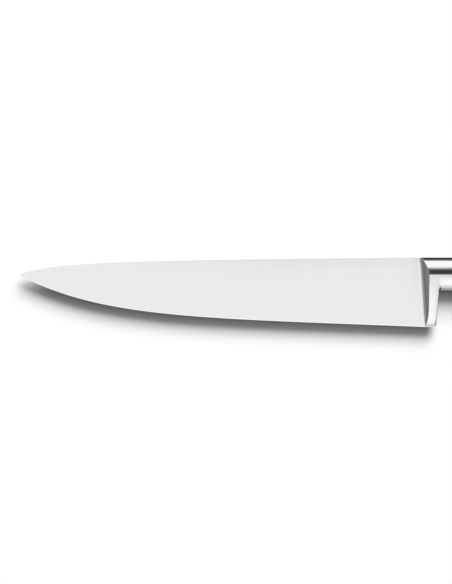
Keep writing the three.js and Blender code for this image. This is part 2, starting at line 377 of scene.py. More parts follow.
def blade_point(x, heel_height, turn):
    """A point of the blade's left side, on the row that starts at a height up the heel."""
    edge = height_at(EDGE, x)
    full = height_at(SPINE, x) - edge
    bevel = min(EDGE_BEVEL, full / 4)
    corner = min(SPINE_ROUND, flank(full, full) / 2, full / 4)
    if heel_height < EDGE_BEVEL:
        height = bevel * heel_height / EDGE_BEVEL
        half = flank(bevel, full) * heel_height / EDGE_BEVEL
    else:
        share = (heel_height - EDGE_BEVEL) / (HEEL_HEIGHT - SPINE_ROUND - EDGE_BEVEL)
        height = mix(bevel, full - corner, share)
        half = flank(height, full)
    height += corner * math.sin(turn)
    half -= corner * (1 - math.cos(turn))
    return Vector((x, edge + height, half))


# Bolster

RAMP_ANGLE = math.atan2(GRIP_HALF - SPINE_THICKNESS / 2, RAMP_LENGTH)
NECK_MIDDLE = -NECK_HEIGHT / 2
NECK_REACH = NECK_HEIGHT / 2 + RIDGE_GRIND


def heel_line(y):
    """Where the blade ends: further forward towards the spine."""
    return HEEL_SET_BACK - HEEL_LEAN * (1 + y / HEEL_HEIGHT)


def neck_half(y):
    """Half the neck's thickness at a height."""
    away = min(1, abs(y - NECK_MIDDLE) / NECK_REACH)
    return GRIP_HALF * (1 - away**NECK_OVAL) ** (1 / NECK_OVAL)


def guard_half(y):
    """Half the guard's thickness at a height: it tapers from the neck down to a rounded foot."""
    down = min(1, (NECK_MIDDLE - y) / (HEEL_HEIGHT + NECK_MIDDLE))
    rounded = mix(GRIP_HALF, GUARD_FOOT_THICKNESS / 2, down) * (1 - down**GUARD_FOOT_TURN)
    return max(rounded, GUARD_FOOT_FLAT / 2)


def guard_back(y):
    """How far back the guard reaches at a height, with the corner of its foot rounded."""
    below_neck = min(1, max(0, (-NECK_HEIGHT - y) / (HEEL_HEIGHT - NECK_HEIGHT)))
    short = GUARD_FOOT_ROUND - min(GUARD_FOOT_ROUND, y + HEEL_HEIGHT)
    corner = GUARD_FOOT_ROUND - math.sqrt(GUARD_FOOT_ROUND**2 - short**2)
    return mix(GUARD_LENGTH_AT_NECK, GUARD_LENGTH_AT_FOOT, below_neck) - corner


def bolster_half(row):
    """Half the bolster's thickness at a height, on the neck or on the guard below its middle."""
    return guard_half(row) if row < NECK_MIDDLE else neck_half(row)


def blade_half(heel_height):
    """Half the blade's thickness at a height up the heel, with the sharpened bevel."""
    return flank(max(heel_height, EDGE_BEVEL), HEEL_HEIGHT) * min(1, heel_height / EDGE_BEVEL)


def heel_slope(rise):
    """The slope that leads from the blade's side up to the bolster's, by how far it rises.

    Gives its angle, the radius of the fillet at its foot, and where that fillet starts and the slope's
    crest lies, from the heel's line.
    """
    fillet = min(HEEL_FILLET, rise * FILLET_LIMIT)
    foot = fillet * FILLET_SET_BACK
    crest = rise / math.tan(RAMP_ANGLE)
    angle = math.atan2(rise, crest - foot)
    return angle, fillet, foot - fillet * math.tan(angle / 2), crest


def side_line(heel_height, turn=0, on_guard=False):
    """One line along the steel's left side, from the tip to the back of the guard.

    It starts at a height up the heel, and turns over the spine's corner by an angle. On the guard, below
    the neck, it runs on across the guard's back to the middle.
    """
    y = heel_height - HEEL_HEIGHT + SPINE_ROUND * math.sin(turn)
    low = blade_half(heel_height) - SPINE_ROUND * (1 - math.cos(turn))
    half = bolster_half(y)
    rise = max(0, half - low)
    below_neck = ease(-NECK_HEIGHT - y, 0, BACK_EASE)
    foot = min(half, neck_half(max(y, -NECK_HEIGHT)) * (1 - below_neck))
    back = guard_back(y)
    slope, fillet, start, crest = heel_slope(rise)
    start += heel_line(y)
    crest += heel_line(y)
    ridge = min(CREST_ROUND, rise / 4)
    share_of_back = mix(BACK_SHARE, 1, below_neck)
    fall = limited((half - foot) * share_of_back, GUARD_BACK_FALL)
    root_height = limited((half - foot) * (1 - share_of_back), NECK_FILLET)
    root_length = 0 if on_guard else NECK_FILLET

    def on_fillet(share):
        angle = slope * share
        return Vector((start + fillet * math.sin(angle), y, low + fillet * (1 - math.cos(angle))))

    def on_crest(share):
        angle = slope * (1 - share)
        ahead = ridge * (math.tan(slope / 2) - math.sin(angle))
        return Vector((crest + ahead, y, half - ridge * (1 - math.cos(angle))))

    def on_back(share):
        angle = math.pi / 2 * share
        ahead = GUARD_BACK_ROUND * (1 - math.sin(angle))
        return Vector((back - ahead, y, half - fall * (1 - math.cos(angle))))

    def on_root(share):
        angle = math.pi / 2 * share
        behind = root_length * (1 - math.cos(angle))
        return Vector((back + behind, y, foot + root_height * (1 - math.sin(angle))))

    line = []
    for share in shares(BLADE_STATIONS):
        x = mix(TIP_BLUNT - BLADE_LENGTH, start, share**BLADE_CROWDING)
        line.append(blade_point(x, heel_height, turn))
    line += [on_fillet(share) for share in shares(FILLET_STEPS)]
    line += [on_fillet(1).lerp(on_crest(0), share) for share in shares(RAMP_STEPS)]
    line += [on_crest(share) for share in shares(CREST_STEPS)]
    line += [on_crest(1).lerp(on_back(0), share) for share in shares(SIDE_STEPS)]
    line += [on_back(share) for share in shares(BACK_STEPS)]
    line += [on_back(1).lerp(on_root(0), share) for share in shares(SIDE_STEPS)]
    line += [on_root(share) for share in shares(ROOT_STEPS)]
    line.append(on_root(1))
    line.append(Vector((back, y, 0)) if on_guard else on_root(1))
    return line


def side_lines():
    """All the lines of the left side, from the edge up to the middle of the spine."""
    guard_height = HEEL_HEIGHT - NECK_HEIGHT
    heights = [EDGE_BEVEL * share**2 for share in shares(BEVEL_ROWS)]
    heights += [mix(EDGE_BEVEL, guard_height, share**GUARD_CROWDING) for share in shares(GUARD_ROWS)]
    lines = [side_line(height, on_guard=True) for height in heights + [guard_height]]

    lowest = math.acos((NECK_HEIGHT / 2 / NECK_REACH) ** (NECK_OVAL / 2))
    spine_start = HEEL_HEIGHT - SPINE_ROUND
    for share in shares(NECK_ROWS):
        up = math.cos(mix(math.pi - lowest, lowest, share))
        height = HEEL_HEIGHT + NECK_MIDDLE + power_of(up, 2 / NECK_OVAL) * NECK_REACH
        if height < spine_start - SPINE_ROUND / 2:
            lines.append(side_line(height))
    for step in range(SPINE_ROWS + 1):
        lines.append(side_line(spine_start, turn=math.pi / 2 * step / SPINE_ROWS))
    lines.append([Vector((point.x, point.y, 0)) for point in lines[-1]])
    return lines


def make_forging():
    """Blade and bolster: a grid shaped to one side, the neck drawn out of it, and its mirror image."""
    lines = side_lines()
    columns = len(lines[0])
    bpy.ops.object.select_all(action="DESELECT")
    bpy.ops.mesh.primitive_grid_add(x_subdivisions=columns - 1, y_subdivisions=len(lines) - 1, size=2)
    forging = name_piece("blade_and_bolster")
    for point in forging.data.vertices:
        column = round((point.co.x + 1) / 2 * (columns - 1))
        row = round((point.co.y + 1) / 2 * (len(lines) - 1))
        point.co = lines[row][column]
    merge_points(forging)

    # The neck is drawn out of the open edge that the guard's back leaves for it.
    neck_start = {tuple(round(value / MERGE) for value in line[-1]) for line in lines}

    def starts_neck(start, end):
        behind = min(start.x, end.x) > GUARD_LENGTH_AT_NECK - MERGE
        off_middle = max(start.z, end.z) > MERGE
        ends = (tuple(round(value / MERGE) for value in point) for point in (start, end))
        return behind and off_middle and all(point in neck_start for point in ends)

    select_edges(forging, starts_neck)
    step = (SHOULDER - GUARD_LENGTH_AT_NECK - NECK_FILLET) / NECK_STEPS
    for _ in range(NECK_STEPS):
        bpy.ops.mesh.extrude_edges_move(TRANSFORM_OT_translate={"value": (step, 0, 0)})
    bpy.ops.transform.resize(value=(0, 1, 1), center_override=(SHOULDER, 0, 0))
    object_mode()
    apply_modifier(forging, "MIRROR", use_axis=(False, False, True), merge_threshold=MERGE)
    work_on(forging)
    edit_mode()
    bpy.ops.mesh.select_all(action="SELECT")
    bpy.ops.mesh.fill_holes(sides=0)
    object_mode()
    face_outwards(forging)
    smooth(forging, STEEL_SMOOTH)
    move(forging, HEEL)
    return forging


# Handle

BACK = (
    (SHOULDER, 0),
    (SHOULDER + BACK_RISE_FROM_SHOULDER, BACK_RISE),
    (BUTT, -BACK_FALL),
)
UNDERSIDE = (
    (SHOULDER, -NECK_HEIGHT),
    (SHOULDER + BELLY_FROM_SHOULDER, -NECK_HEIGHT - BELLY_DEPTH),
    (BUTT - WAIST_FROM_BUTT, -NECK_HEIGHT - WAIST_DEPTH),
    (BUTT - BEAK_FROM_BUTT, -NECK_HEIGHT - BEAK_DEPTH),
)


def level_at(places, x):
    """The height of a line that is level at each of its places and runs smoothly between them."""
    height = places[0][1]
    for (from_x, from_y), (to_x, to_y) in zip(places, places[1:]):
        if x > from_x:
            height = mix(from_y, to_y, ease(x, from_x, to_x))
    return height


def skin_angle(angle, rim):
    """An angle from the handle's back or underside, shifted so that points run along the rim."""
    steps = math.acos(abs(math.cos(angle))) / (2 * math.pi / GRIP_SIDES)
    if steps < RIM_STEPS:
        return rim * steps / RIM_STEPS
    return mix(rim, math.pi / 2, (steps - RIM_STEPS) / (GRIP_SIDES / 4 - RIM_STEPS))


def ground_flat(height, limit):
    """A height with what stands above a limit ground off, and the corner there eased."""
    near = max(0, 1 - abs(height - limit) / RIDGE_EASE)
    return min(height, limit) - RIDGE_EASE / 4 * near**2


def grip_point(x, angle):
    """A point of the handle's skin, at a place along it and an angle from its back."""
    top = level_at(BACK, x)
    bottom = level_at(UNDERSIDE, x)
    turn = BUTT_TURN * max(0, (x - (BUTT - BUTT_ROUND)) / BUTT_ROUND)
    close = (1 - turn**BUTT_OVAL) ** (1 / BUTT_OVAL)
    half_height = close * (top - bottom) / 2
    power = 2 / mix(NECK_OVAL, HANDLE_OVAL, ease(x, SHOULDER, SHOULDER + SWELL_LENGTH))
    half = close * GRIP_HALF
    turned_by = skin_angle(angle, math.asin((TANG_HALF / half) ** (1 / power)))
    rise = ground_flat(math.cos(turned_by) ** power * (half_height + RIDGE_GRIND), half_height)
    out = math.sin(turned_by) ** power * half
    middle = (top + bottom) / 2
    return Vector((x, middle + math.copysign(rise, math.cos(angle)), math.copysign(out, math.sin(angle))))


def make_blank():
    """The handle's outer form in one piece, before it is sawn into the tang and the two scales."""
    places = [mix(SHOULDER, BUTT - BUTT_ROUND, share) for share in shares(GRIP_STATIONS)]
    for step in range(BUTT_STATIONS + 1):
        places.append(BUTT - BUTT_ROUND * (1 - math.sin(math.pi / 2 * step / BUTT_STATIONS)))
    bpy.ops.object.select_all(action="DESELECT")
    bpy.ops.mesh.primitive_cylinder_add(vertices=GRIP_SIDES, radius=1, depth=2)
    blank = name_piece("handle_blank")
    select_edges(blank, lambda start, end: start.z * end.z < 0)
    bpy.ops.mesh.subdivide(number_cuts=len(places) - 2)
    object_mode()
    for point in blank.data.vertices:
        ring = round((point.co.z + 1) / 2 * (len(places) - 1))
        point.co = grip_point(places[ring], math.atan2(point.co.y, point.co.x))
    face_outwards(blank)
    return blank


def make_tang(blank, drills):
    """The middle slice of the blank, whose rim shows between the scales."""
    tang = copy_of(blank, "tang")
    for side in (1, -1):
        saw(tang, (0, 0, side * TANG_HALF), (0, 0, side))
    drill(tang, drills)
    smooth(tang, HANDLE_SMOOTH)
    move(tang, HEEL)
    return tang


def make_scale(blank, drills, name, side):
    """One outer slice of the blank, with seats for the rivets and its rims eased."""
    scale = copy_of(blank, name)
    saw(scale, (0, 0, side * TANG_HALF), (0, 0, -side))
    drill(scale, drills)

    def on_rim(start, end):
        on_tang = all(abs(point.z - side * TANG_HALF) < MERGE for point in (start, end))
        on_shoulder = all(abs(point.x - SHOULDER) < MERGE for point in (start, end))
        return on_tang or on_shoulder

    select_edges(scale, on_rim)
    bpy.ops.mesh.bevel(offset=RIM_ROUND, segments=2, affect="EDGES", clamp_overlap=False)
    object_mode()
    smooth(scale, HANDLE_SMOOTH)
    move(scale, HEEL)
    return scale


# Rivets

def rivet_places():
    """Each rivet's middle and the radius of its head, from the heel."""
    places = []
    for number in range(1, RIVET_COUNT + 1):
        low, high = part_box(f"rivet_{number}_tube")
        places.append(((low + high) / 2 - HEEL, (high.x - low.x) / 2))
    return places


HEAD_UNDERSIDE = GRIP_HALF - RIVET_HEAD_THICKNESS


def step_out(piece, up, radius_now, radius, length):
    """Draws a turned piece's end face to another radius and then out along its axis."""
    end = max(point.co.z * up for point in piece.data.vertices)

    def on_end(middle, normal):
        return normal.z * up > FACING and middle.z * up > end - MERGE

    select_faces(piece, on_end)
    bpy.ops.mesh.extrude_region_move()
    share = radius / radius_now
    bpy.ops.transform.resize(value=(share, share, 1))
    bpy.ops.mesh.extrude_region_move(TRANSFORM_OT_translate={"value": (0, 0, up * length)})
    object_mode()


def make_drill(place, head_radius):
    """The shape of a rivet's hole: a shank's bore with a seat for a head at both ends."""
    shank = RIVET_TUBE_DIAMETER / 2 + FIT_CLEARANCE
    bpy.ops.object.select_all(action="DESELECT")
    bpy.ops.mesh.primitive_cylinder_add(vertices=RIVET_SIDES, radius=shank, depth=2 * HEAD_UNDERSIDE)
    cutter = name_piece("rivet_drill")
    for up in (1, -1):
        step_out(cutter, up, shank, head_radius + FIT_CLEARANCE, 2 * RIVET_HEAD_THICKNESS)
    move(cutter, (place.x, place.y, 0))
    return cutter


def make_rivet_half(name, head_radius, shank_radius, shank_length, bore_radius):
    """A head, ground flush and eased at its rim, with its shank below it."""
    bpy.ops.object.select_all(action="DESELECT")
    bpy.ops.mesh.primitive_cylinder_add(
        vertices=RIVET_SIDES,
        radius=head_radius,
        depth=RIVET_HEAD_THICKNESS,
        location=(0, 0, GRIP_HALF - RIVET_HEAD_THICKNESS / 2),
    )
    half = name_piece(name)
    bpy.ops.object.transform_apply(location=True, rotation=True, scale=True)
    select_edges(half, lambda start, end: min(start.z, end.z) > GRIP_HALF - MERGE)
    bpy.ops.mesh.bevel(offset=RIVET_ROUND, segments=3, affect="EDGES")
    object_mode()
    select_faces(half, lambda middle, normal: normal.z < -FACING)
    bpy.ops.mesh.inset(thickness=head_radius - shank_radius)
    bpy.ops.mesh.extrude_region_move(TRANSFORM_OT_translate={"value": (0, 0, -shank_length)})
    if bore_radius:
        bpy.ops.mesh.inset(thickness=shank_radius - bore_radius)
        bpy.ops.mesh.extrude_region_move(TRANSFORM_OT_translate={"value": (0, 0, shank_length)})
    object_mode()
    smooth(half, HANDLE_SMOOTH)
    return half


def make_rivets(places):
    """The hollow halves on the left and the solid halves on the right, each modelled once and copied."""
    head_radius = places[0][1]
    bore = RIVET_STUD_DIAMETER / 2 + FIT_CLEARANCE
    length = 2 * HEAD_UNDERSIDE - RIVET_END_GAP
    tube = make_rivet_half("tube_pattern", head_radius, RIVET_TUBE_DIAMETER / 2, length, bore)
    stud = make_rivet_half("stud_pattern", head_radius, RIVET_STUD_DIAMETER / 2, length, 0)
    work_on(stud)
    stud.rotation_euler.x = math.pi
    bpy.ops.object.transform_apply(location=True, rotation=True, scale=True)
    rivets = []
    for number, (place, _) in enumerate(places, start=1):
        for pattern, kind in ((tube, "tube"), (stud, "stud")):
            rivet = copy_of(pattern, f"cutlers_rivet_{number}_{kind}")
            move(rivet, HEEL + Vector((place.x, place.y, 0)))
            rivets.append((rivet, f"rivet_{number}_{kind}"))
    bpy.data.objects.remove(tube)
    bpy.data.objects.remove(stud)
    return rivets


# Materials

LINE_STRENGTH = 0.2  # of the grinding lines in the steel's surface
SMUDGE_SHARE = 1 / 3  # what handling adds to a steel's roughness, as shares of its range
SCRATCH_SHARE = 1 / 5
RESIN_ROUGHNESS = 0.36
RIM_ROUGHNESS = 0.24
POLISHED_RIM = 0.002  # how far from the tang the resin's polished rim fades out
RESIN_SMUDGE = 0.07  # what handling takes off the resin's roughness, and scratches add
RESIN_SCRATCH = 0.1
GRAIN_DEPTH = 1.2e-5
GRAIN_STRENGTH = 0.25


def feed(tree, socket, value):
    """Links a socket to another node's output, or sets its value."""
    if isinstance(value, bpy.types.NodeSocket):
        tree.links.new(value, socket)
    else:
        socket.default_value = value


def add_node(tree, kind, inputs, **settings):
    made = tree.nodes.new(kind)
    for setting, value in settings.items():
        setattr(made, setting, value)
    for socket, value in inputs.items():
        feed(tree, made.inputs[socket], value)
    return made


def scaled(tree, value, low, high):
    """A value from 0 to 1 moved to another range."""
    inputs = {"Value": value, "To Min": low, "To Max": high}
    return add_node(tree, "ShaderNodeMapRange", inputs).outputs["Result"]


def between(tree, value, dark, light):
    """A colour between two, by a value from 0 to 1."""
    ramp = add_node(tree, "ShaderNodeValToRGB", {"Fac": value})
    ramp.color_ramp.elements[0].color = (*dark, 1)
    ramp.color_ramp.elements[1].color = (*light, 1)
    return ramp.outputs["Color"]


def calculate(tree, operation, first, second):
    return add_node(tree, "ShaderNodeMath", {0: first, 1: second}, operation=operation).outputs["Value"]


def noise(tree, place, scale, detail, roughness=0.5):
    inputs = {"Vector": place, "Scale": scale, "Detail": detail, "Roughness": roughness}
    return add_node(tree, "ShaderNodeTexNoise", inputs).outputs["Fac"]


def start_group(name, inputs, outputs):
    """A shader node group with named sockets: vectors in, if a socket has no value, and values out."""
    group = bpy.data.node_groups.new(name, "ShaderNodeTree")
    for socket, value in inputs.items():
        kind = "NodeSocketVector" if value is None else "NodeSocketFloat"
        made = group.interface.new_socket(name=socket, in_out="INPUT", socket_type=kind)
        if value is not None:
            made.default_value = value
    for socket in outputs:
        group.interface.new_socket(name=socket, in_out="OUTPUT", socket_type="NodeSocketFloat")
    return group, group.nodes.new("NodeGroupInput"), group.nodes.new("NodeGroupOutput")


def make_grinding_lines():
    """Fine parallel lines left by a grinding belt, along Y, with broader bands among them."""
    inputs = {"Place": None, "Across": 2200, "Along": 30}
    group, given, result = start_group("grinding_lines", inputs, ["Lines", "Bands"])
    axes = add_node(group, "ShaderNodeSeparateXYZ", {"Vector": given.outputs["Place"]}).outputs
    across = given.outputs["Across"]
    along = given.outputs["Along"]
    stretched = add_node(group, "ShaderNodeCombineXYZ", {
        "X": calculate(group, "MULTIPLY", axes["X"], across),
        "Y": calculate(group, "MULTIPLY", axes["Y"], along),
        "Z": calculate(group, "MULTIPLY", axes["Z"], across),
    }).outputs["Vector"]
    feed(group, result.inputs["Lines"], noise(group, stretched, scale=1.0, detail=3, roughness=0.65))
    feed(group, result.inputs["Bands"], noise(group, stretched, scale=0.23, detail=2))
    return group


def make_handling_marks():
    """What use leaves on a surface: soft smudges and a few hair scratches in two directions."""
    inputs = {"Place": None, "Smudges": 45, "Scratches": 900}
    group, given, result = start_group("handling_marks", inputs, ["Smudge", "Scratch"])
    place = given.outputs["Place"]
    smudge = noise(group, place, given.outputs["Smudges"], detail=4, roughness=0.6)
    soft = add_node(group, "ShaderNodeMapRange", {"Value": smudge, "From Min": 0.35, "From Max": 0.7})
    feed(group, result.inputs["Smudge"], soft.outputs["Result"])
    marks = []
    for turn in (35, 118):
        mapping = add_node(group, "ShaderNodeMapping", {
            "Vector": place,
            "Rotation": (0, 0, math.radians(turn)),
            "Scale": (1, 0.02, 1),
        })
        hairs = noise(group, mapping.outputs["Vector"], given.outputs["Scratches"], detail=1)
        thin = add_node(group, "ShaderNodeMapRange", {"Value": hairs, "From Min": 0.70, "From Max": 0.80})
        marks.append(thin.outputs["Result"])
    feed(group, result.inputs["Scratch"], calculate(group, "MAXIMUM", *marks))
    return group


grinding_lines = make_grinding_lines()
handling_marks = make_handling_marks()


def start_material(name):
    """A new material with its shader and the piece's own coordinates."""
    material = bpy.data.materials.new(name)
    material.use_nodes = True
    tree = material.node_tree
    place = tree.nodes.new("ShaderNodeTexCoord").outputs["Object"]
    return material, tree, tree.nodes["Principled BSDF"], place


def use_group(tree, group, inputs):
    made = tree.nodes.new("ShaderNodeGroup")
    made.node_tree = group
    for socket, value in inputs.items():
        feed(tree, made.inputs[socket], value)
    return made.outputs


def turned(tree, place, degrees):
    """Coordinates turned about Z, so that a pattern runs another way."""
    inputs = {"Vector": place, "Rotation": (0, 0, math.radians(degrees))}
    return add_node(tree, "ShaderNodeMapping", inputs).outputs["Vector"]


def raise_surface(tree, shader, height, depth, strength):
    inputs = {"Height": height, "Distance": depth, "Strength": strength}
    feed(tree, shader.inputs["Normal"], add_node(tree, "ShaderNodeBump", inputs).outputs["Normal"])


def grey(level):
    return (level, level, level)


def steel(name, dark, light, smooth_end, rough_end, turn, across, depth):
    """Ground stainless steel, by the ends of its range of colour and of roughness.

    Its lines are turned from the spine-to-edge way by an angle in degrees. How finely they lie across
    the steel, and how deep they are, comes last.
    """
    material, tree, shader, place = start_material(name)
    lines = use_group(tree, grinding_lines, {"Place": turned(tree, place, turn), "Across": across})
    marks = use_group(tree, handling_marks, {"Place": place})
    shader.inputs["Metallic"].default_value = 1
    feed(tree, shader.inputs["Base Color"], between(tree, lines["Bands"], dark, light))
    streaks = scaled(tree, lines["Lines"], smooth_end, rough_end)
    handled = scaled(tree, marks["Smudge"], 0, (rough_end - smooth_end) * SMUDGE_SHARE)
    scratched = scaled(tree, marks["Scratch"], 0, (rough_end - smooth_end) * SCRATCH_SHARE)
    wear = calculate(tree, "ADD", handled, scratched)
    feed(tree, shader.inputs["Roughness"], calculate(tree, "ADD", streaks, wear))
    raise_surface(tree, shader, lines["Lines"], depth, LINE_STRENGTH)
    return material


def satin_steel():
    return steel(
        "satin_blade_steel", dark=grey(0.845), light=grey(0.883),
        smooth_end=0.22, rough_end=0.28, turn=0, across=2200, depth=0.9e-6,
    )


def honed_steel():
    return steel(
        "honed_edge_steel", dark=grey(0.91), light=grey(0.95),
        smooth_end=0.12, rough_end=0.18, turn=12, across=5200, depth=3e-6,
    )


def ground_steel():
    return steel(
        "ground_slope_steel", dark=grey(0.84), light=grey(0.87),
        smooth_end=0.12, rough_end=0.16, turn=0, across=3000, depth=1e-6,
    )


def polished_steel():
    return steel(
        "polished_bolster_steel", dark=grey(0.95), light=grey(0.98),
        smooth_end=0.08, rough_end=0.12, turn=90, across=1800, depth=1e-6,
    )


def tang_steel():
    return steel(
        "tang_rim_steel", dark=(0.76, 0.76, 0.77), light=grey(0.82),
        smooth_end=0.18, rough_end=0.30, turn=90, across=4200, depth=6e-6,
    )


def rivet_steel():
    return steel(
        "rivet_head_steel", dark=(0.74, 0.74, 0.75), light=grey(0.82),
        smooth_end=0.14, rough_end=0.26, turn=70, across=3600, depth=5e-6,
    )


def black_resin():
    """Moulded handle resin: a fine grain, polished along the rims ground flush with the tang."""
    material, tree, shader, place = start_material("black_handle_resin")
    marks = use_group(tree, handling_marks, {"Place": place, "Smudges": 60, "Scratches": 1400})
    grain = noise(tree, place, scale=9000, detail=3, roughness=0.6)
    cloud = noise(tree, place, scale=120, detail=3)
    colour = between(tree, cloud, dark=(0.010, 0.010, 0.011), light=(0.018, 0.018, 0.019))
    feed(tree, shader.inputs["Base Color"], colour)
    height = add_node(tree, "ShaderNodeSeparateXYZ", {"Vector": place}).outputs["Z"]
    from_middle = calculate(tree, "ABSOLUTE", calculate(tree, "SUBTRACT", height, HEEL.z), 0)
    inputs = {
        "Value": from_middle,
        "From Min": TANG_HALF,
        "From Max": TANG_HALF + POLISHED_RIM,
        "To Min": RIM_ROUGHNESS,
        "To Max": RESIN_ROUGHNESS,
    }
    rims = add_node(tree, "ShaderNodeMapRange", inputs, interpolation_type="SMOOTHSTEP").outputs["Result"]
    handled = calculate(tree, "SUBTRACT", rims, scaled(tree, marks["Smudge"], 0, RESIN_SMUDGE))
    scratched = scaled(tree, marks["Scratch"], 0, RESIN_SCRATCH)
    feed(tree, shader.inputs["Roughness"], calculate(tree, "ADD", handled, scratched))
    raise_surface(tree, shader, grain, GRAIN_DEPTH, GRAIN_STRENGTH)
    return material


# Studio

def seen_rays(tree):
    """1 or 0 for whether a ray comes straight from the camera, and for whether it shows a reflection."""
    path = tree.nodes.new("ShaderNodeLightPath").outputs
    mirrored = calculate(tree, "MAXIMUM", path["Is Glossy Ray"], path["Is Transmission Ray"])
    return path["Is Camera Ray"], mirrored


def follow(tree, value, stops, unit):
    """A number that follows a value, from stops of the value, in a unit, and the number there."""
    first, last = stops[0][0], stops[-1][0]
    inputs = {"Value": value, "From Min": first * unit, "From Max": last * unit}
    share = add_node(tree, "ShaderNodeMapRange", inputs).outputs["Result"]
    ramp = add_node(tree, "ShaderNodeValToRGB", {"Fac": share})
    elements = ramp.color_ramp.elements
    while len(elements) < len(stops):
        elements.new(0.5)
    for element, (place, number) in zip(elements, stops):
        element.position = (place - first) / (last - first)
        element.color = (number, number, number, 1)
    return ramp.outputs["Color"]


# How bright the room looks in steel: by degrees from overhead, negative towards the edge
ROOM_ACROSS = (
    (-90, 0.52), (-86, 0.62), (-81, 0.77), (-76, 0.92), (-72, 1.0), (0, 1.0),
    (12, 0.95), (30, 0.62), (52, 0.60), (66, 1.0), (90, 1.0),
)
# and by degrees from the middle, negative towards the butt
ROOM_ALONG = (
    (-90, 0.6), (-60, 0.75), (-30, 0.9), (0, 1.0), (25, 0.93),
    (40, 0.70), (50, 0.38), (62, 0.30), (90, 0.32),
)


def make_room():
    """White for the camera, a lit room for reflections, and little else for matt surfaces."""
    world = bpy.data.worlds.new("studio")
    bpy.context.scene.world = world
    world.use_nodes = True
    tree = world.node_tree
    tree.nodes.clear()
    way = tree.nodes.new("ShaderNodeTexCoord").outputs["Generated"]
    axes = add_node(tree, "ShaderNodeSeparateXYZ", {"Vector": way}).outputs
    across = calculate(tree, "ARCTAN2", axes["Y"], axes["Z"])
    along = calculate(tree, "ARCSINE", calculate(tree, "MULTIPLY", axes["X"], -1.0), 0)
    room = calculate(
        tree,
        "MULTIPLY",
        follow(tree, across, ROOM_ACROSS, math.radians(1)),
        follow(tree, along, ROOM_ALONG, math.radians(1)),
    )
    # Reflections of reflections show the room dimmer: painted shade where steel reflects steel
    reflections = tree.nodes.new("ShaderNodeLightPath").outputs["Glossy Depth"]
    further = calculate(tree, "MAXIMUM", calculate(tree, "SUBTRACT", reflections, 1.0), 0.0)
    kept = calculate(tree, "MULTIPLY", room, calculate(tree, "POWER", SECOND_REFLECTION, further))
    camera, mirrored = seen_rays(tree)
    shade = add_node(tree, "ShaderNodeBackground", {"Color": (1, 1, 1, 1), "Strength": SHADE_LIGHT})
    seen = add_node(tree, "ShaderNodeBackground", {"Color": (1, 1, 1, 1), "Strength": kept})
    white = add_node(tree, "ShaderNodeBackground", {"Color": (1, 1, 1, 1), "Strength": 1.0})
    inputs = {0: mirrored, 1: shade.outputs[0], 2: seen.outputs[0]}
    reflected = add_node(tree, "ShaderNodeMixShader", inputs)
    inputs = {0: camera, 1: reflected.outputs[0], 2: white.outputs[0]}
    background = add_node(tree, "ShaderNodeMixShader", inputs)
    add_node(tree, "ShaderNodeOutputWorld", {"Surface": background.outputs[0]})


def make_floor():
    bpy.ops.object.select_all(action="DESELECT")
    bpy.ops.mesh.primitive_plane_add(size=FLOOR_SIZE)
    floor = name_piece("floor")
    material = bpy.data.materials.new("white_floor")
    material.use_nodes = True
    tree = material.node_tree
    tree.nodes.clear()
    camera, mirrored = seen_rays(tree)
    glow = calculate(tree, "MULTIPLY", calculate(tree, "MAXIMUM", camera, mirrored), FLOOR_GLOW)
    paint = add_node(tree, "ShaderNodeBsdfDiffuse", {"Color": (FLOOR_GREY, FLOOR_GREY, FLOOR_GREY, 1)})
    light = add_node(tree, "ShaderNodeEmission", {"Strength": glow})
    both = add_node(tree, "ShaderNodeAddShader", {0: paint.outputs[0], 1: light.outputs[0]})
    add_node(tree, "ShaderNodeOutputMaterial", {"Surface": both.outputs[0]})
    floor.data.materials.append(material)


# How dark the flags' painted reflections are, by millimetres from the neck's middle, negative towards the
# edge
NECK_FLAG = (
    (-30, 0), (-18, 0.05), (-12, 0.12), (-6, 0.24), (-3, 0.40), (0, 0.63), (2.5, 0.84),
    (5, 0.93), (15, 0.93), (19, 0.80), (24, 0.50), (29, 0.12), (36, 0),
)
BACK_FLAG = ((0, 0.92), (18, 0.96), (30, 0.95), (48, 0.8), (80, 0.35), (111, 0.1))
GUARD_FLAG = ((-600, 0.6), (-110, 0.7), (-45, 0.7), (0, 0.7))
FRONT_FLAG = ((-600, 0.42), (-110, 0.5), (-45, 0.64), (-28, 0.80), (-18, 0.92), (0, 0.97))
SPINE_FLAG = ((8, 0), (20, 0.34), (36, 0.42), (48, 0.2), (60, 0))
CORNER_FLAG = ((-320, 0.9), (-60, 0.93), (-31, 0.93), (-27, 0.3), (-24, 0))
# The last is a fan, so this is for how far a point lies along the knife, over how far it lies from it
CORNER_FAN = ((0.02, 0), (0.09, 1), (0.55, 1), (0.8, 0))


